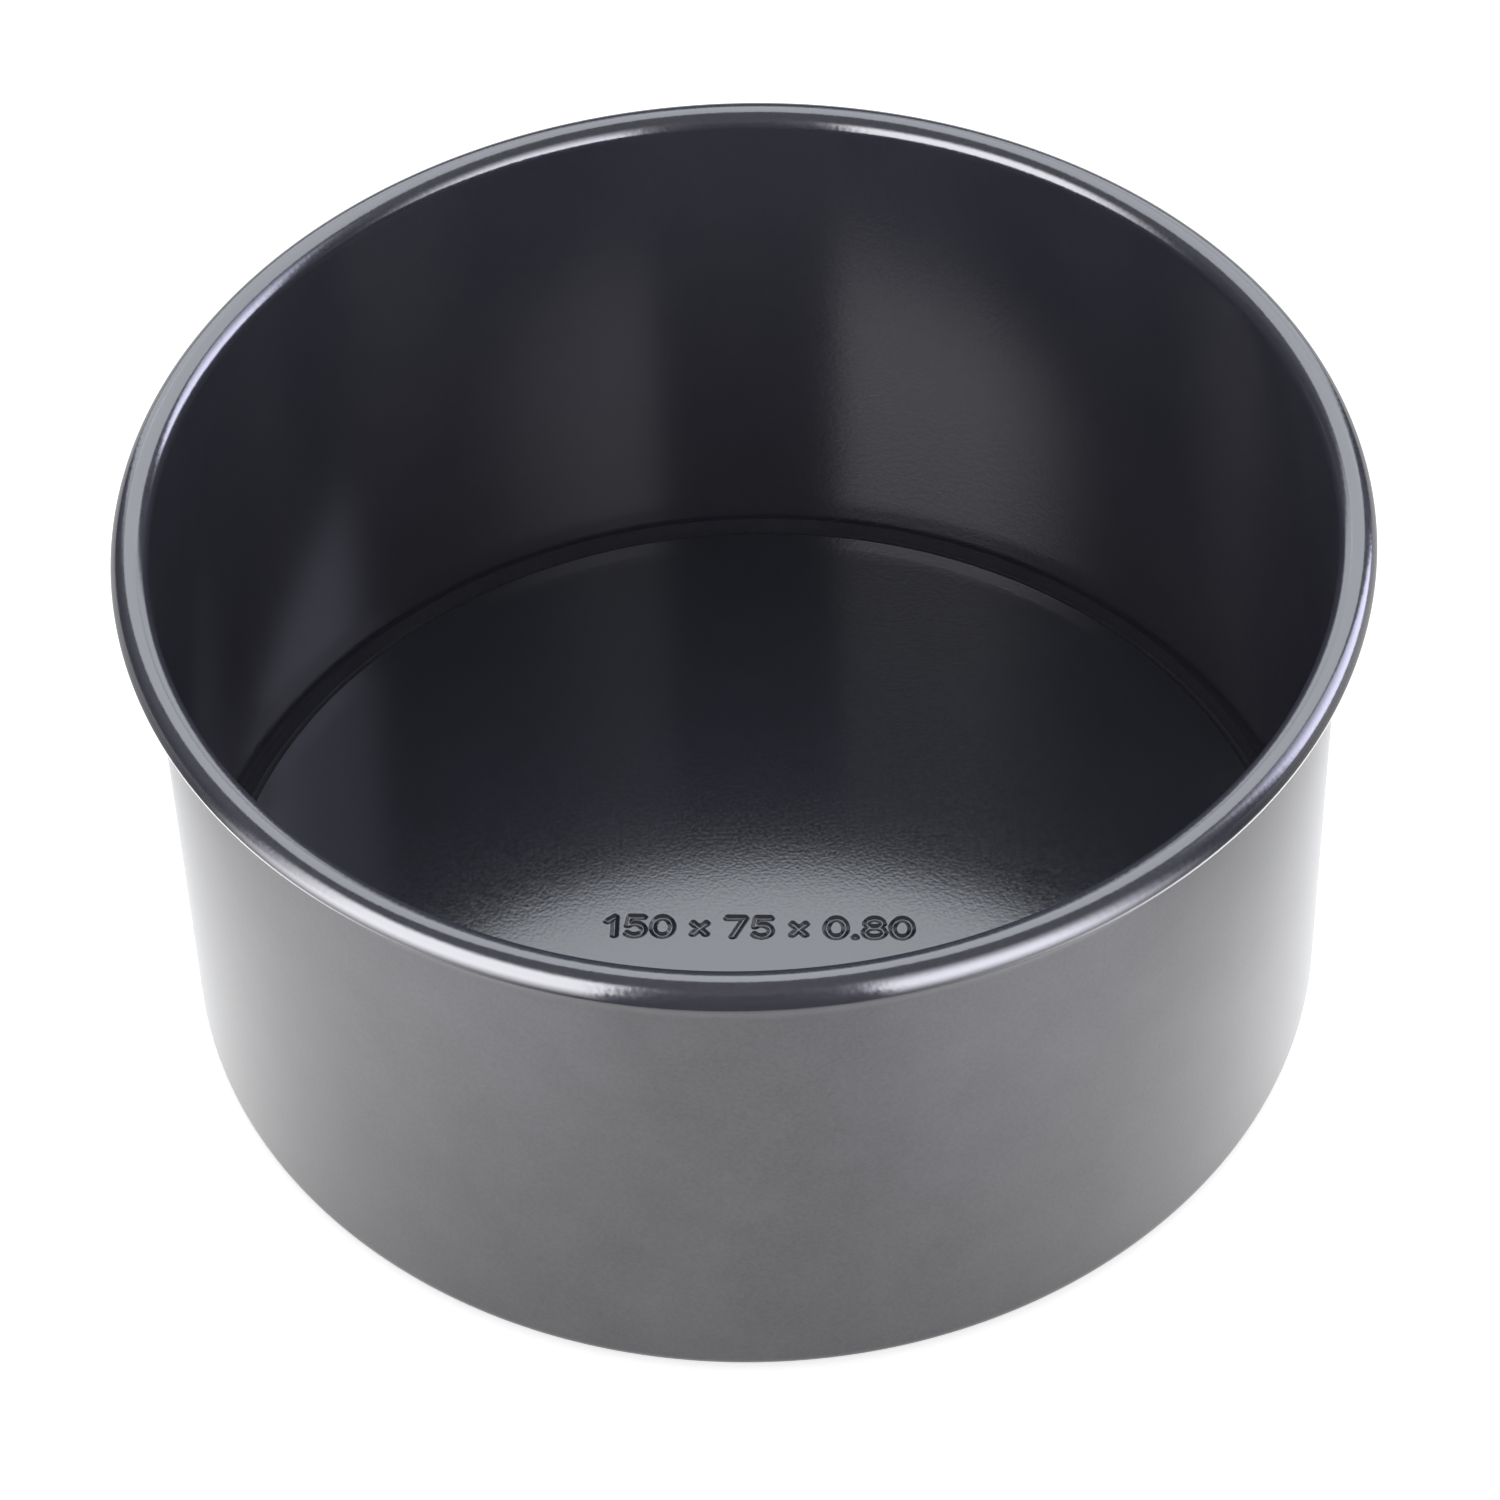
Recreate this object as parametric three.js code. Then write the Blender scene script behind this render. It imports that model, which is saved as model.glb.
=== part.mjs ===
// Deep round cake tin with a loose base, in millimetres, +Z up.
// A sheet-steel side wall is rolled outwards round a wire at its rim and turned inwards at its
// foot, and a separate flat base lies on that ledge and is pushed up to free the cake.
// The origin is on the tin's axis, on the surface that it stands on.

import * as THREE from 'three';

// Side wall
const INSIDE_DIAMETER = 150;
const OVERALL_HEIGHT = 79;
const WALL_SHEET = 0.8;

// Wired rim: the sheet is curled round the wire and stops just short of the wall
const WIRE_DIAMETER = 2.6;
const WIRE_CLEARANCE = 0.3;
const CURL_END_GAP = 0.3;

// Foot: the inside bend radius, and the flat width of ledge that carries the base
const FOOT_BEND = 1.7;
const LEDGE_FLAT = 5.3;

// Loose base: its top edge is rolled over, and its bottom edge is broken
const BASE_SHEET = 0.8;
const BASE_CLEARANCE = 0.2;
const EDGE_ROLL_WIDTH = 2.5;
const EDGE_ROLL_DROP = 0.4;
const EDGE_BREAK = 0.15;

// Facets: steps in a full turn about the axis, sides of the wire, the step along an arc, and the
// share of a step below which an arc's last step counts as none
const TURN_FACETS = 72;
const WIRE_SIDES = 12;
const ARC_STEP = THREE.MathUtils.degToRad(15);
const SAME_STEP = 0.01;

const insideRadius = INSIDE_DIAMETER / 2;
const beadRadius = WIRE_DIAMETER / 2 + WIRE_CLEARANCE + WALL_SHEET;
const beadCentre = new THREE.Vector2(insideRadius + beadRadius, OVERALL_HEIGHT - beadRadius);
const footCentre = new THREE.Vector2(insideRadius - FOOT_BEND, WALL_SHEET + FOOT_BEND);

const RIGHT = 0;
const UP = Math.PI / 2;
const LEFT = Math.PI;
const DOWN = -Math.PI / 2;

// A point of a section: its distance from the tin's axis and its height
const point = (outward, height) => new THREE.Vector2(outward, height);

// Points along an ellipse: one at each ARC_STEP from its start, and its end
function arc(centre, radiusOutward, radiusUp, start, end) {
  const turn = end - start;
  const steps = Math.ceil(Math.abs(turn) / ARC_STEP - SAME_STEP);
  return Array.from({ length: steps + 1 }, (_, step) => {
    const angle = step < steps ? start + Math.sign(turn) * step * ARC_STEP : end;
    return point(centre.x + radiusOutward * Math.cos(angle), centre.y + radiusUp * Math.sin(angle));
  });
}

// The solid swept by a section that is turned about the tin's axis
function revolve(section) {
  const geometry = new THREE.LatheGeometry(section, TURN_FACETS);
  geometry.rotateX(Math.PI / 2);
  return geometry;
}

// One sheet all the way: ledge, foot bend, straight wall and the curl round the wire
function sideWallSection() {
  const ledgeEdge = footCentre.x - LEDGE_FLAT;
  const curlInside = beadRadius - WALL_SHEET;
  const curlEnd = Math.acos((curlInside - CURL_END_GAP) / beadRadius) - Math.PI;
  const footOutside = FOOT_BEND + WALL_SHEET;
  return [
    point(ledgeEdge, 0),
    ...arc(footCentre, footOutside, footOutside, DOWN, RIGHT),
    ...arc(beadCentre, curlInside, curlInside, LEFT, curlEnd),
    ...arc(beadCentre, beadRadius, beadRadius, LEFT, curlEnd).reverse(),
    ...arc(footCentre, FOOT_BEND, FOOT_BEND, RIGHT, DOWN),
    point(ledgeEdge, WALL_SHEET),
    point(ledgeEdge, 0),
  ];
}

// A round wire inside the curl
function rimWireSection() {
  const wireRadius = WIRE_DIAMETER / 2;
  return new THREE.EllipseCurve(beadCentre.x, beadCentre.y, wireRadius, wireRadius).getPoints(WIRE_SIDES);
}

// A flat disc that drops onto the ledge inside the foot bend, drawn from its own underside
function looseBaseSection() {
  const edge = footCentre.x - BASE_CLEARANCE;
  const rollDrop = Math.min(EDGE_ROLL_DROP, BASE_SHEET / 2);
  const rollCentre = point(edge - EDGE_ROLL_WIDTH, BASE_SHEET - rollDrop);
  const edgeBreak = Math.min(EDGE_BREAK, BASE_SHEET / 4);
  return [
    point(0, 0),
    point(edge - edgeBreak, 0),
    point(edge, edgeBreak),
    ...arc(rollCentre, EDGE_ROLL_WIDTH, rollDrop, RIGHT, UP),
    point(0, BASE_SHEET),
  ];
}

const wallCoating = new THREE.MeshStandardMaterial({ color: 0x36373b, roughness: 0.3, metalness: 0.7 });
const baseCoating = new THREE.MeshStandardMaterial({ color: 0x333438, roughness: 0.4, metalness: 0.7 });
const wireSteel = new THREE.MeshStandardMaterial({ color: 0x9b9da0, roughness: 0.45, metalness: 1 });

function piece(name, section, material) {
  const mesh = new THREE.Mesh(revolve(section), material);
  mesh.name = name;
  return mesh;
}

const sideWall = piece('side_wall', sideWallSection(), wallCoating);
const rimWire = piece('rim_wire', rimWireSection(), wireSteel);
const looseBase = piece('loose_base', looseBaseSection(), baseCoating);
looseBase.position.z = WALL_SHEET;

const cakeTin = new THREE.Group();
cakeTin.add(sideWall, rimWire, looseBase);

export default cakeTin;
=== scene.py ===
import math

import bpy
import numpy as np
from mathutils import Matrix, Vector


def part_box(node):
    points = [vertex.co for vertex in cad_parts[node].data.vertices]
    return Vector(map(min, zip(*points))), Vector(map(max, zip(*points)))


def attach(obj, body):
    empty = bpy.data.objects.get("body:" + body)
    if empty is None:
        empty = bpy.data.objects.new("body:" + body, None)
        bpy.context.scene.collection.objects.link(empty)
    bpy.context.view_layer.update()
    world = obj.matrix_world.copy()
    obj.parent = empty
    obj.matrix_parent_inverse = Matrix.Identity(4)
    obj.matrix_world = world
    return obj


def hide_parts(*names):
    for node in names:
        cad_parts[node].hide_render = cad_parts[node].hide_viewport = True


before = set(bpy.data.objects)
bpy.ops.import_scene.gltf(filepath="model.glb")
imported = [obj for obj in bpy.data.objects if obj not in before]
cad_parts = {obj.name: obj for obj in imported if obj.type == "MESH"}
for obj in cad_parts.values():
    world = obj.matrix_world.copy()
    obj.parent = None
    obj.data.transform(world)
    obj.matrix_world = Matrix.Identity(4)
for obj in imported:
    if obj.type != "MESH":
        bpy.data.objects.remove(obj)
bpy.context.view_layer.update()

# A deep round cake tin: a steel band with a wired rim and an inward ledge, and a loose base on it.
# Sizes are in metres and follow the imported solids; the axis is Z, and the floor is at z = 0.
MM = 0.001

# Sheet and rim
WALL_SHEET = 0.8 * MM
WIRE_DIAMETER = 2.6 * MM
WIRE_CLEARANCE = 0.3 * MM
CURL_END_GAP = 0.3 * MM
FOOT_BEND = 1.7 * MM
FOOT_RAMP_HEIGHT = 1.7 * MM
FOOT_RAMP_WIDTH = 0.85 * MM
LEDGE_FLAT = 5.3 * MM
CUT_EDGE_ROUND = 0.2 * MM

# Swell: the rolling of the rim pushes the wall out a little under the bead
SWELL = 0.5 * MM
SWELL_BELOW_BEAD = 2.0 * MM
SWELL_REACH = 2.9 * MM

# Loose base: it sags a little towards its middle, and its margin falls away in a bevel and is rolled over
BASE_SAG = 0.6 * MM
BEVEL_WIDTH = 2.2 * MM
BEVEL_DROP = 0.05 * MM
EDGE_ROLL_WIDTH = 0.25 * MM
EDGE_ROLL_DROP = 0.3 * MM
EDGE_BREAK = 0.15 * MM

# Size mark pressed into the base: nominal diameter, depth and sheet in millimetres
MARK_TEXT = "150 x 75 x 0.80"
MARK_CENTRE = (0.4 * MM, -2.2 * MM)
MARK_WIDTH = 41.8 * MM
MARK_HEIGHT = 3.3 * MM
MARK_TURN = math.radians(-3.0)
MARK_STROKE = 1.15 * MM
MARK_DEPTH = 0.32 * MM
SIGN_GAP = 0.36

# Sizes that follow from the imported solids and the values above
RIM_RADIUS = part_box("side_wall")[1].x
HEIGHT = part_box("side_wall")[1].z
BASE_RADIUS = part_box("loose_base")[1].x
BASE_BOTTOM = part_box("loose_base")[0].z
BASE_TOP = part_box("loose_base")[1].z
BEAD_RADIUS = WIRE_DIAMETER / 2 + WIRE_CLEARANCE + WALL_SHEET
INSIDE_RADIUS = RIM_RADIUS - 2 * BEAD_RADIUS
LEDGE_EDGE = INSIDE_RADIUS - FOOT_BEND - LEDGE_FLAT
SWELL_HEIGHT = HEIGHT - 2 * BEAD_RADIUS - SWELL_BELOW_BEAD

# Mesh steps: round the axis, round the wire, and in rings under the base
TURN_STEPS = 320
WIRE_STEPS = 20
UNDER_RINGS = 6

# Grid of the base's top: fine over the mark; the zones and the coarse step are shares of its radius
MARK_ZONE_U = (-0.335, 0.335)
MARK_ZONE_V = (-0.085, 0.03)
FINE_STEP_U = 0.13 * MM
FINE_STEP_V = 0.1 * MM
COARSE_STEP = 0.035


def linear(hex_colour):
    """An sRGB hex colour such as "#303136" as linear red, green, blue and alpha."""
    values = np.array([int(hex_colour[i:i + 2], 16) for i in (1, 3, 5)]) / 255
    low = values / 12.92
    high = ((values + 0.055) / 1.055) ** 2.4
    return (*np.where(values <= 0.04045, low, high), 1.0)


def add(tree, kind, links=None, **settings):
    """Adds a node. settings are its properties; links maps each socket to a value or to the output of
    another node."""
    made = tree.nodes.new(kind)
    for name, value in settings.items():
        setattr(made, name, value)
    for socket, value in (links or {}).items():
        if isinstance(value, bpy.types.NodeSocket):
            tree.links.new(value, made.inputs[socket])
        else:
            made.inputs[socket].default_value = value
    return made


def material(name):
    """An empty node material and its tree."""
    made = bpy.data.materials.new(name)
    made.use_nodes = True
    made.node_tree.nodes.clear()
    return made, made.node_tree


# Shapes: sections and grids


def ellipse(centre, radii, start, end, steps):
    """Points on an ellipse: centre plus radii times (cos, sin) of evenly spaced degrees."""
    angle = np.radians(np.linspace(start, end, steps + 1))
    return np.column_stack([centre[0] + radii[0] * np.cos(angle), centre[1] + radii[1] * np.sin(angle)])


def arc(centre, radius, start, end, steps):
    """Points on a circle about centre (outward, height): an ellipse with equal radii."""
    return ellipse(centre, (radius, radius), start, end, steps)


def straight(start, end, steps):
    """Points from start to end that crowd towards both ends, as half a cosine wave does."""
    share = (1 - np.cos(np.linspace(0, math.pi, steps + 1))) / 2
    return np.outer(1 - share, start) + np.outer(share, end)


def join(*runs):
    """Runs of section points end to end, without the point that each run shares with the one before."""
    return np.vstack([runs[0]] + [run[1:] for run in runs[1:]])


def smooth(value, start, end):
    """A smooth step, 3 t t - 2 t t t, where t runs from 0 at start to 1 at end."""
    share = np.clip((value - start) / (end - start), 0, 1)
    return share * share * (3 - 2 * share)


def turn(section, angles):
    """A section (outward, height) turned about Z, one row for each of its points: x = outward cos a,
    y = outward sin a and z = height."""
    outward = section[:, :1]
    height = np.broadcast_to(section[:, 1:], (len(section), len(angles)))
    return np.stack([outward * np.cos(angles), outward * np.sin(angles), height], axis=-1)


def grid_faces(rows, columns):
    """Quads of a grid whose points run along its rows."""
    row, column = np.meshgrid(np.arange(rows - 1), np.arange(columns - 1), indexing="ij")
    corner = row * columns + column
    return np.stack([corner, corner + 1, corner + columns + 1, corner + columns], axis=-1).reshape(-1, 4)


def ring_faces(rows, columns):
    """Quads between neighbouring rows of a grid whose columns close on themselves."""
    row, column = np.meshgrid(np.arange(rows - 1), np.arange(columns), indexing="ij")
    after = (column + 1) % columns
    corner = row * columns
    quads = [corner + column, corner + after, corner + columns + after, corner + columns + column]
    return np.stack(quads, axis=-1).reshape(-1, 4)


def mesh_piece(name, points, faces, materials, slots=None):
    """A smooth mesh object at the origin from point and face arrays; slots gives each face's material."""
    mesh = bpy.data.meshes.new(name)
    mesh.from_pydata(points, [], faces)
    for item in materials:
        mesh.materials.append(item)
    if slots is not None:
        mesh.polygons.foreach_set("material_index", slots.astype(np.int32))
    mesh.polygons.foreach_set("use_smooth", np.ones(len(mesh.polygons), bool))
    mesh.update()
    made = bpy.data.objects.new(name, mesh)
    bpy.context.scene.collection.objects.link(made)
    return made


# Finishes

# Sprayed film: size of the clouds and of the grain, the grain's weight beside the clouds, the ranges of
# both together and of the grain alone, and how far the grain shifts the roughness
CLOUD_SIZE = 9 * MM
GRAIN_SIZE = 0.5 * MM
GRAIN_WEIGHT = 1.5
FLECK_RANGE = (0.75, 1.75)
GRAIN_RANGE = (0.3, 0.7)
GRAIN_SHIFT = 0.03
SHEEN_ROUGHNESS = 0.35


def coating(name, colour, dark_colour, roughness, ior, peel_size, peel_depth, sheen=0.0):
    """A sprayed and baked film: an even colour with faint clouds and flecks, and the orange peel of the
    spray, which breaks up the edges of reflections."""
    made, tree = material(name)
    place = add(tree, "ShaderNodeTexCoord").outputs["Object"]
    cloud = add(tree, "ShaderNodeTexNoise", {"Vector": place, "Scale": 1 / CLOUD_SIZE, "Detail": 4.0})
    grain = add(tree, "ShaderNodeTexNoise", {"Vector": place, "Scale": 1 / GRAIN_SIZE, "Detail": 2.0})
    fleck = add(tree, "ShaderNodeMath", {
        0: grain.outputs["Fac"],
        1: GRAIN_WEIGHT,
        2: cloud.outputs["Fac"],
    }, operation="MULTIPLY_ADD")
    shade = add(tree, "ShaderNodeMapRange", {
        "Value": fleck.outputs[0],
        "From Min": FLECK_RANGE[0],
        "From Max": FLECK_RANGE[1],
    })
    tint = add(tree, "ShaderNodeMix", {
        "Factor": shade.outputs["Result"],
        "A": linear(dark_colour),
        "B": linear(colour),
    }, data_type="RGBA")
    gloss = add(tree, "ShaderNodeMapRange", {
        "Value": grain.outputs["Fac"],
        "From Min": GRAIN_RANGE[0],
        "From Max": GRAIN_RANGE[1],
        "To Min": roughness - GRAIN_SHIFT,
        "To Max": roughness + GRAIN_SHIFT,
    })
    peel = add(tree, "ShaderNodeTexNoise", {
        "Vector": place,
        "Scale": 1 / peel_size,
        "Detail": 1.0,
        "Roughness": 0.4,
    })
    bump = add(tree, "ShaderNodeBump", {"Height": peel.outputs["Fac"], "Distance": peel_depth})
    shader = add(tree, "ShaderNodeBsdfPrincipled", {
        "Base Color": tint.outputs["Result"],
        "Roughness": gloss.outputs["Result"],
        "Normal": bump.outputs["Normal"],
        "IOR": ior,
        "Sheen Weight": sheen,
        "Sheen Roughness": SHEEN_ROUGHNESS,
    })
    add(tree, "ShaderNodeOutputMaterial", {"Surface": shader.outputs["BSDF"]})
    return made


# Non-stick coating: near-black with a cold cast and a hard gloss that mirrors the lights sharply
INSIDE_COAT = coating("non_stick_coating", "#3d3d46", "#353540", roughness=0.16, ior=2.2,
                      peel_size=0.7 * MM, peel_depth=0.011 * MM)
# Thin non-stick film in the foot and on the ledge: it has less gloss, so it is a black line round the base
THIN_COAT = coating("thin_non_stick_film", "#3b3b43", "#33333a", roughness=0.2, ior=1.3,
                    peel_size=0.7 * MM, peel_depth=0.011 * MM)
# Stoving paint: a satin mid grey that spreads reflections and turns pale towards its edges
OUTSIDE_COAT = coating("grey_stoving_paint", "#6f6e71", "#605f62", roughness=0.45, ior=1.4,
                       peel_size=0.7 * MM, peel_depth=0.01 * MM, sheen=1.0)
# Non-stick coating on the flat base: the same film, a little darker, with a finer peel
BASE_COAT = coating("non_stick_base_coating", "#292b35", "#22242c", roughness=0.13, ior=2.13,
                    peel_size=0.45 * MM, peel_depth=0.009 * MM)

# Drawn wire: size of its dull patches, size and depth of the die's grain, and roughness dull and bright
PATCH_SIZE = 4 * MM
DIE_GRAIN_SIZE = 0.2 * MM
DIE_GRAIN_DEPTH = 0.02 * MM
WIRE_ROUGHNESS = (0.5, 0.25)


def drawn_steel(name, colour, dark_colour):
    """Bare wire: bright metal with dull patches of drawing soap, and the fine grain that the die leaves."""
    made, tree = material(name)
    place = add(tree, "ShaderNodeTexCoord").outputs["Object"]
    patch = add(tree, "ShaderNodeTexNoise", {"Vector": place, "Scale": 1 / PATCH_SIZE, "Detail": 5.0})
    grain = add(tree, "ShaderNodeTexNoise", {"Vector": place, "Scale": 1 / DIE_GRAIN_SIZE, "Detail": 2.0})
    tint = add(tree, "ShaderNodeMix", {
        "Factor": patch.outputs["Fac"],
        "A": linear(dark_colour),
        "B": linear(colour),
    }, data_type="RGBA")
    gloss = add(tree, "ShaderNodeMapRange", {
        "Value": patch.outputs["Fac"],
        "To Min": WIRE_ROUGHNESS[0],
        "To Max": WIRE_ROUGHNESS[1],
    })
    bump = add(tree, "ShaderNodeBump", {"Height": grain.outputs["Fac"], "Distance": DIE_GRAIN_DEPTH})
    shader = add(tree, "ShaderNodeBsdfPrincipled", {
        "Base Color": tint.outputs["Result"],
        "Metallic": 1.0,
        "Roughness": gloss.outputs["Result"],
        "Normal": bump.outputs["Normal"],
    })
    add(tree, "ShaderNodeOutputMaterial", {"Surface": shader.outputs["BSDF"]})
    return made


# Drawn mild steel wire: grey metal with a soft shine, dull in patches
WIRE_STEEL = drawn_steel("drawn_steel_wire", "#a9a8a4", "#7d7b77")


# Side wall


def swell(section):
    """The section with the wall pushed outwards under the bead by half a cosine wave of the height."""
    share = np.clip(np.abs(section[:, 1] - SWELL_HEIGHT) / SWELL_REACH, 0, 1)
    outwards = SWELL * (1 + np.cos(math.pi * share)) / 2
    return np.column_stack([section[:, 0] + outwards, section[:, 1]])


def side_wall():
    """The wall's section, turned about the axis: ledge, foot bend, wall and a curl of nearly a full circle
    round the wire. The outside is painted up to the curl's end, the bead and the inner face carry the
    coating, and the ramp inside the bend and the ledge carry a thin film of it."""
    foot = (INSIDE_RADIUS - FOOT_BEND, WALL_SHEET + FOOT_BEND)
    ramp_high = (INSIDE_RADIUS, WALL_SHEET + FOOT_RAMP_HEIGHT)
    ramp_low = (INSIDE_RADIUS - FOOT_RAMP_WIDTH, WALL_SHEET)
    bead = (INSIDE_RADIUS + BEAD_RADIUS, HEIGHT - BEAD_RADIUS)
    curl_inside = BEAD_RADIUS - WALL_SHEET
    curl_end = math.degrees(math.acos((curl_inside - CURL_END_GAP) / BEAD_RADIUS)) - 180
    edge = CUT_EDGE_ROUND
    outside = INSIDE_RADIUS + WALL_SHEET
    swell_foot = SWELL_HEIGHT - SWELL_REACH
    ledge_low = (LEDGE_EDGE + edge, edge)
    ledge_high = (LEDGE_EDGE + edge, WALL_SHEET - edge)
    painted = join(
        arc(ledge_low, edge, 180, 270, steps=4),
        straight((ledge_low[0], 0), (foot[0], 0), steps=8),
        arc(foot, FOOT_BEND + WALL_SHEET, -90, 0, steps=18),
        straight((outside, foot[1]), (outside, swell_foot), steps=24),
        swell(straight((outside, swell_foot), (outside, bead[1]), steps=20)),
        arc(bead, curl_inside, 180, curl_end, steps=30),
    )
    coated = join(
        arc(bead, BEAD_RADIUS, curl_end, 180, steps=76),
        straight((INSIDE_RADIUS, bead[1]), ramp_high, steps=40),
    )
    thin = join(
        straight(ramp_high, ramp_low, steps=12),
        straight(ramp_low, (ledge_high[0], WALL_SHEET), steps=10),
        arc(ledge_high, edge, 90, 180, steps=4),
    )
    section = np.vstack([painted, coated, thin[1:]])
    rows = len(section)
    angles = np.linspace(0, 2 * math.pi, TURN_STEPS, endpoint=False)
    faces = ring_faces(rows + 1, TURN_STEPS) % (rows * TURN_STEPS)
    row_slot = np.repeat([0, 1, 2], [len(painted), len(coated) - 1, len(thin)])
    return mesh_piece("tin_wall", turn(section, angles).reshape(-1, 3), faces,
                      [OUTSIDE_COAT, INSIDE_COAT, THIN_COAT], np.repeat(row_slot, TURN_STEPS))


# Rim wire


def rim_wire():
    """A ring of round wire, centred in the curl: the circle of its section, turned about the axis."""
    middle = (INSIDE_RADIUS + BEAD_RADIUS, HEIGHT - BEAD_RADIUS)
    section = arc(middle, WIRE_DIAMETER / 2, 0, 360, WIRE_STEPS)[:-1]
    angles = np.linspace(0, 2 * math.pi, TURN_STEPS, endpoint=False)
    faces = ring_faces(WIRE_STEPS + 1, TURN_STEPS) % (WIRE_STEPS * TURN_STEPS)
    return mesh_piece("bead_wire", turn(section, angles).reshape(-1, 3), faces, [WIRE_STEEL])


# Loose base

# Signs of the mark, 1 tall: each one's width, and its strokes as runs of points; round forms are ellipses
SIGN_STEPS = 24
SIGNS = {
    "0": (0.8, [ellipse((0.4, 0.5), (0.4, 0.5), 0, 360, SIGN_STEPS)]),
    "1": (0.5, [np.array([(0.08, 0.76), (0.38, 1.0), (0.38, 0.0)])]),
    "5": (0.75, [np.array([(0.7, 1.0), (0.14, 1.0), (0.08, 0.55)]),
                 ellipse((0.35, 0.33), (0.38, 0.33), 132, -140, SIGN_STEPS)]),
    "7": (0.72, [np.array([(0.0, 1.0), (0.72, 1.0), (0.24, 0.0)])]),
    "8": (0.78, [ellipse((0.39, 0.76), (0.33, 0.24), 0, 360, SIGN_STEPS),
                 ellipse((0.39, 0.27), (0.39, 0.27), 0, 360, SIGN_STEPS)]),
    "x": (0.66, [np.array([(0.06, 0.12), (0.6, 0.7)]), np.array([(0.06, 0.7), (0.6, 0.12)])]),
    ".": (0.08, [np.array([(0.03, 0.0), (0.05, 0.0)])]),
    " ": (0.1, []),
}


def mark_depth(x, y):
    """Depth of the mark at points: a groove with straight sides along each stroke, deepest on the stroke
    and rising in line with the distance to the nearest piece of stroke."""
    across = math.cos(MARK_TURN) * (x - MARK_CENTRE[0]) + math.sin(MARK_TURN) * (y - MARK_CENTRE[1])
    along = math.cos(MARK_TURN) * (y - MARK_CENTRE[1]) - math.sin(MARK_TURN) * (x - MARK_CENTRE[0])
    lefts = np.cumsum([0] + [SIGNS[sign][0] + SIGN_GAP for sign in MARK_TEXT])
    stretch = MARK_WIDTH / (lefts[-1] - SIGN_GAP)
    nearest = np.full(x.shape, MARK_WIDTH)
    for left, sign in zip(lefts, MARK_TEXT):
        for stroke in SIGNS[sign][1]:
            points = (stroke + (left, 0)) * (stretch, MARK_HEIGHT) - (MARK_WIDTH / 2, MARK_HEIGHT / 2)
            for start, end in zip(points[:-1], points[1:]):
                step = end - start
                share = ((across - start[0]) * step[0] + (along - start[1]) * step[1]) / (step @ step)
                share = np.clip(share, 0, 1)
                gap = np.hypot(across - start[0] - share * step[0], along - start[1] - share * step[1])
                nearest = np.minimum(nearest, gap)
    return MARK_DEPTH * np.clip(1 - nearest / (MARK_STROKE / 2), 0, 1)


def crowded(dense_from, dense_to, step, coarse):
    """Values from -1 to 1, at an even step between two limits and a coarse step outside them."""
    middle = np.linspace(dense_from, dense_to, int((dense_to - dense_from) / step) + 1)
    below = np.linspace(-1, dense_from, int((dense_from + 1) / coarse) + 2)[:-1]
    above = np.linspace(dense_to, 1, int((1 - dense_to) / coarse) + 2)[1:]
    return np.concatenate([below, middle, above])


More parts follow.
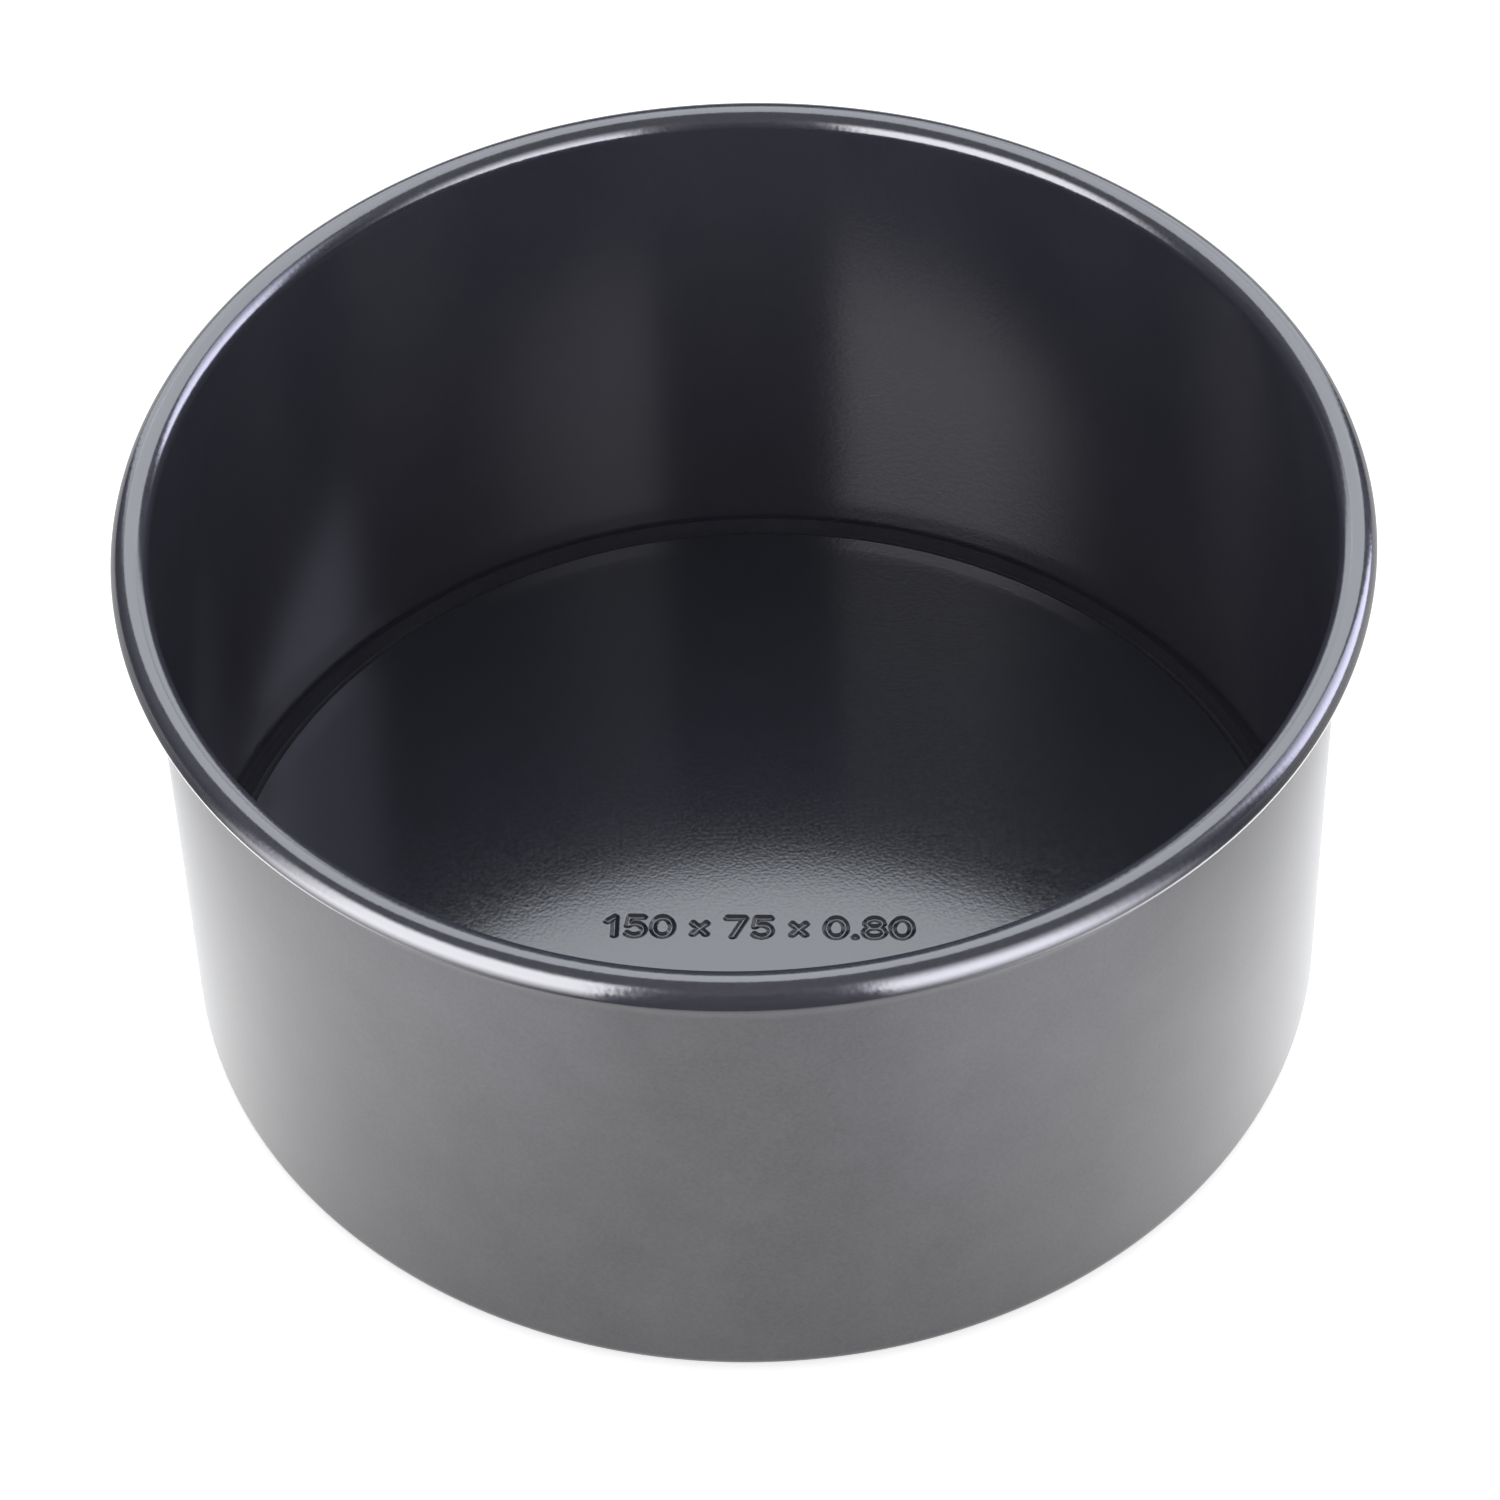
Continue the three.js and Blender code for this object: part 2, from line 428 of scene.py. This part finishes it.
def loose_base():
    """A disc that sags by a parabola, with a bevelled and rolled margin. The top is a square grid (u, v)
    pressed into a disc, x = R u sqrt(1 - v v / 2) and y = R v sqrt(1 - u u / 2). The margin and the
    underside repeat the grid's outer points along a section: flat on the ledge, then a parabola to a fan
    in the middle."""
    flat_radius = BASE_RADIUS - EDGE_ROLL_WIDTH - BEVEL_WIDTH
    u_line = crowded(*MARK_ZONE_U, FINE_STEP_U / flat_radius, COARSE_STEP)
    v_line = crowded(*MARK_ZONE_V, FINE_STEP_V / flat_radius, COARSE_STEP)
    u, v = np.meshgrid(u_line, v_line)
    x = flat_radius * u * np.sqrt(1 - v * v / 2)
    y = flat_radius * v * np.sqrt(1 - u * u / 2)
    sag = BASE_SAG * (1 - (x * x + y * y) / flat_radius ** 2)
    top = np.stack([x, y, BASE_TOP - sag - mark_depth(x, y)], axis=-1)
    rows, columns = u.shape
    number = np.arange(rows * columns).reshape(rows, columns)
    rim = np.concatenate([number[0, :-1], number[:-1, -1], number[-1, :0:-1], number[:0:-1, 0]])
    bevel_end = (BASE_RADIUS - EDGE_ROLL_WIDTH, BASE_TOP - BEVEL_DROP)
    roll_centre = (bevel_end[0], bevel_end[1] - EDGE_ROLL_DROP)
    roll = ellipse(roll_centre, (EDGE_ROLL_WIDTH, EDGE_ROLL_DROP), 90, 0, steps=14)
    break_high = (BASE_RADIUS, BASE_BOTTOM + EDGE_BREAK)
    break_low = (BASE_RADIUS - EDGE_BREAK, BASE_BOTTOM)
    under_radius = LEDGE_EDGE - EDGE_BREAK
    under = under_radius * np.linspace(1, 0, UNDER_RINGS, endpoint=False)
    section = join(
        straight((flat_radius, BASE_TOP), bevel_end, steps=10),
        roll,
        straight(roll[-1], break_high, steps=2),
        straight(break_high, break_low, steps=2),
        straight(break_low, (under_radius, BASE_BOTTOM), steps=1),
        np.column_stack([under, BASE_BOTTOM - BASE_SAG * (1 - (under / under_radius) ** 2)]),
    )
    flat = top.reshape(-1, 3)
    angles = np.arctan2(flat[rim, 1], flat[rim, 0])
    margin = turn(section[1:], angles)
    rim_count = len(rim)
    numbers = np.concatenate([rim, len(flat) + np.arange(margin.shape[0] * rim_count)])
    margin_faces = numbers[ring_faces(margin.shape[0] + 1, rim_count)][:, ::-1]
    middle = len(flat) + margin.shape[0] * rim_count
    last = middle - rim_count + np.arange(rim_count)
    fan = np.column_stack([np.roll(last, -1), last, np.full(rim_count, middle)])
    points = np.vstack([flat, margin.reshape(-1, 3), [(0, 0, BASE_BOTTOM - BASE_SAG)]])
    faces = grid_faces(rows, columns).tolist() + margin_faces.tolist() + fan.tolist()
    return mesh_piece("base_disc", points, faces, [BASE_COAT])


wall = side_wall()
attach(wall, "tin")
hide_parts("side_wall")
wire = rim_wire()
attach(wire, "tin")
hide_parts("rim_wire")
base = loose_base()
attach(base, "base")
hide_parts("loose_base")

# Studio: a white table, soft lamps for the plain level, and cards that only gloss shows

# Table, and its painted glow in gloss, with a painted shadow in front of the tin: the direction that counts
# as behind, the distances from the axis between which near turns to far, and for each of the two (share of
# the way behind, glow) at a ramp's ends
TABLE_SIZE = 6.0
TABLE_WHITE = 0.55
GLOSS_BEHIND = (0.1, 1.0, 0.0)
GLOSS_REACH = (0.104, 0.124)
GLOSS_NEAR = ((-0.95, 0.05), (-0.25, 2.7))
GLOSS_FAR = ((-0.2, 0.05), (0.4, 0.9))


def table_with_painted_glow(name, colour):
    """White laminate: evenly white to the eye, with a soft shadow. In gloss it shows only a painted glow:
    dark in front of the tin as a painted shadow, white far behind it and painted light close to its sides."""
    made, tree = material(name)
    path = add(tree, "ShaderNodeLightPath")
    place = add(tree, "ShaderNodeTexCoord").outputs["Object"]
    outward = add(tree, "ShaderNodeVectorMath", {0: place}, operation="NORMALIZE")
    behind = add(tree, "ShaderNodeVectorMath", {
        0: outward.outputs["Vector"],
        1: GLOSS_BEHIND,
    }, operation="DOT_PRODUCT")
    near, far = [
        add(tree, "ShaderNodeMapRange", {
            "Value": behind.outputs["Value"],
            "From Min": start[0],
            "To Min": start[1],
            "From Max": end[0],
            "To Max": end[1],
        })
        for start, end in (GLOSS_NEAR, GLOSS_FAR)
    ]
    distance = add(tree, "ShaderNodeVectorMath", {0: place}, operation="LENGTH")
    glow = add(tree, "ShaderNodeMapRange", {
        "Value": distance.outputs["Value"],
        "From Min": GLOSS_REACH[0],
        "From Max": GLOSS_REACH[1],
        "To Min": near.outputs["Result"],
        "To Max": far.outputs["Result"],
    })
    paper = add(tree, "ShaderNodeBsdfDiffuse", {"Color": linear(colour)})
    white = add(tree, "ShaderNodeMath", {
        0: path.outputs["Is Camera Ray"],
        1: TABLE_WHITE,
    }, operation="MULTIPLY")
    lifted = add(tree, "ShaderNodeEmission", {"Strength": white.outputs[0]})
    seen = add(tree, "ShaderNodeAddShader", {0: paper.outputs[0], 1: lifted.outputs[0]})
    # Gloss sees only this painted glow: its dark front is a painted shadow of the tin, its bright sides
    # painted light
    painted_glow = add(tree, "ShaderNodeEmission", {"Strength": glow.outputs["Result"]})
    both = add(tree, "ShaderNodeMixShader", {
        0: path.outputs["Is Glossy Ray"],
        1: seen.outputs[0],
        2: painted_glow.outputs[0],
    })
    add(tree, "ShaderNodeOutputMaterial", {"Surface": both.outputs[0]})
    return made


half = TABLE_SIZE / 2
table = mesh_piece("table", [(-half, -half, 0), (half, -half, 0), (half, half, 0), (-half, half, 0)],
                   [(0, 1, 2, 3)], [table_with_painted_glow("white_table_painted_glow", "#e6e6e6")])

# Cards: their distance from the axis at the bead's height, that height, their lift off the table, and the
# points along each side
CARD_REACH = 1.2
CARD_CENTRE = HEIGHT - BEAD_RADIUS
CARD_ABOVE_TABLE = 0.5 * MM
CARD_STEPS = 49

# Below this elevation the cards show in the band alone, because the flat base, lifted out and seen from
# low down, would show each as a white sheet
BASE_MIRROR = 30.0
band_only = bpy.data.collections.new("band_only")
band_only.objects.link(wall)


def light_card(name, colour, strength, azimuth, elevation, rising, falling, fading, lean, viewers):
    """A white card seen only in gloss, round the tin between two azimuths (from behind it, to the right)
    and two elevations at the rim. Below the horizon it sweeps along the table towards the tin. Its light
    rises and falls with the elevation, and fades with the azimuth, by smooth steps between the given
    limits, which may differ from azimuth to azimuth. lean is an azimuth and how many degrees sooner the
    light falls for each degree past it, or before it where that is negative. viewers is the collection of
    objects that show the card, or None for all."""
    sideways = np.linspace(*azimuth, CARD_STEPS)
    upward = np.linspace(*elevation, CARD_STEPS)[:, None]
    sooner = np.maximum(lean[1] * (sideways - lean[0]), 0)
    level = strength * smooth(upward, *rising) * (1 - smooth(upward + sooner, *falling))
    level = level * (1 - smooth(sideways, *fading))
    slope = np.sin(np.radians(upward))
    to_table = (CARD_CENTRE - CARD_ABOVE_TABLE) / np.maximum(-slope, CARD_CENTRE / CARD_REACH)
    reach = np.where(slope < 0, to_table, CARD_REACH)
    out = reach * np.cos(np.radians(upward))
    points = np.stack([
        out * np.sin(np.radians(sideways)),
        out * np.cos(np.radians(sideways)),
        CARD_CENTRE + reach * slope * np.ones_like(sideways),
    ], axis=-1)
    made, tree = material(name + "_fabric")
    light = add(tree, "ShaderNodeAttribute", attribute_name="light")
    lit = add(tree, "ShaderNodeEmission", {"Color": linear(colour), "Strength": light.outputs["Fac"]})
    clear = add(tree, "ShaderNodeBsdfTransparent")
    over = add(tree, "ShaderNodeAddShader", {0: lit.outputs[0], 1: clear.outputs[0]})
    add(tree, "ShaderNodeOutputMaterial", {"Surface": over.outputs[0]})
    card = mesh_piece(name, points.reshape(-1, 3), grid_faces(CARD_STEPS, CARD_STEPS).tolist(), [made])
    values = card.data.attributes.new("light", "FLOAT", "POINT").data
    values.foreach_set("value", level.ravel().astype(np.float32))
    card.visible_camera = False
    card.visible_diffuse = False
    card.visible_shadow = False
    card.light_linking.receiver_collection = viewers


def split_card(name, elevation, **look):
    """A card in two pieces that meet where the base starts to show it."""
    light_card(name + "_low", elevation=(elevation[0], BASE_MIRROR), viewers=band_only, **look)
    light_card(name + "_high", elevation=(BASE_MIRROR, elevation[1]), viewers=None, **look)


split_card("card_front_left", colour="#fafaff", strength=5.6, azimuth=(-159, -91), elevation=(-40, 56),
           rising=(-40, -8), falling=(29, 51.5), fading=(-120, -93), lean=(-128, 0.2))
split_card("card_front_right", colour="#f4f4ff", strength=5.7, azimuth=(108, 163), elevation=(-40, 58),
           rising=(-40, -8), falling=(2, 56), fading=(140, 110), lean=(150, -0.3))
split_card("card_right", colour="#e4e4ff", strength=6.2, azimuth=(55, 96), elevation=(0, 60),
           rising=(0, 8), falling=(12, 58), fading=(84, 96), lean=(90, 0.0))

# The card behind the tin has an arch cut from its lower edge, highest in the middle; only the band shows it
ARCH_SIDE = 38
ARCH_TOP = 37
ARCH_FALL = 14
ARCH_EDGE = (-4, 2)
arch = ARCH_TOP * np.exp(-np.abs(np.linspace(-ARCH_SIDE, ARCH_SIDE, CARD_STEPS)) / ARCH_FALL)
light_card("card_behind", colour="#f2f7ff", strength=1.9, azimuth=(-ARCH_SIDE, ARCH_SIDE),
           elevation=(-2, 36), rising=(arch + ARCH_EDGE[0], arch + ARCH_EDGE[1]), falling=(28, 36),
           fading=(33, ARCH_SIDE), lean=(0, 0.0), viewers=band_only)


def soft_lamp(name, position, size, watts, colour, in_gloss):
    """A rectangular soft lamp that faces the tin; in_gloss says whether reflections show it."""
    data = bpy.data.lights.new(name, "AREA")
    data.shape = "RECTANGLE"
    data.size, data.size_y = size
    data.energy = watts
    data.color = linear(colour)[:3]
    made = bpy.data.objects.new(name, data)
    bpy.context.scene.collection.objects.link(made)
    made.location = position
    made.rotation_mode = "QUATERNION"
    made.rotation_quaternion = (Vector((0, 0, HEIGHT / 2)) - made.location).to_track_quat("-Z", "Y")
    made.visible_camera = False
    made.visible_glossy = in_gloss


soft_lamp("key_behind", position=(0.05, 0.635, 1.02), size=(1.3, 0.92), watts=7.5, colour="#f2f7ff",
          in_gloss=True)
soft_lamp("fill_front", position=(0.0, -1.4, 0.62), size=(2.6, 0.9), watts=6.0, colour="#ffffff",
          in_gloss=False)

# Room: an even white, and in gloss a dim grey that rises between two heights of the direction
ROOM_LEVEL = 0.8
GLOSS_HEIGHTS = (0.3, 0.6)
GLOSS_LEVELS = (0.03, 0.17)

world = bpy.data.worlds.new("studio")
bpy.context.scene.world = world
world.use_nodes = True
room = world.node_tree
room_path = add(room, "ShaderNodeLightPath")
direction = add(room, "ShaderNodeTexCoord").outputs["Generated"]
ceiling = add(room, "ShaderNodeMapRange", {
    "Value": add(room, "ShaderNodeSeparateXYZ", {"Vector": direction}).outputs["Z"],
    "From Min": GLOSS_HEIGHTS[0],
    "From Max": GLOSS_HEIGHTS[1],
    "To Min": GLOSS_LEVELS[0],
    "To Max": GLOSS_LEVELS[1],
})
level = add(room, "ShaderNodeMapRange", {
    "Value": room_path.outputs["Is Glossy Ray"],
    "To Min": ROOM_LEVEL,
    "To Max": ceiling.outputs["Result"],
})
background = room.nodes["Background"]
background.inputs["Color"].default_value = linear("#ffffff")
room.links.new(level.outputs["Result"], background.inputs["Strength"])

# Camera

CAMERA_DISTANCE = 0.709
CAMERA_ELEVATION = math.radians(47.03)
CAMERA_TILT = math.radians(0.2895)
CAMERA_ROLL = math.radians(-1.815)
LENS_MM = 129.52
SENSOR_MM = 36.0

camera_data = bpy.data.cameras.new("camera")
camera_data.lens = LENS_MM
camera_data.sensor_width = SENSOR_MM
camera = bpy.data.objects.new("camera", camera_data)
bpy.context.scene.collection.objects.link(camera)
camera.location = (0, -CAMERA_DISTANCE * math.cos(CAMERA_ELEVATION),
                   HEIGHT / 2 + CAMERA_DISTANCE * math.sin(CAMERA_ELEVATION))
camera.rotation_mode = "ZYX"
camera.rotation_euler = (math.pi / 2 - CAMERA_ELEVATION - CAMERA_TILT, 0, CAMERA_ROLL)
bpy.context.scene.camera = camera
bpy.context.scene.view_settings.view_transform = "Standard"
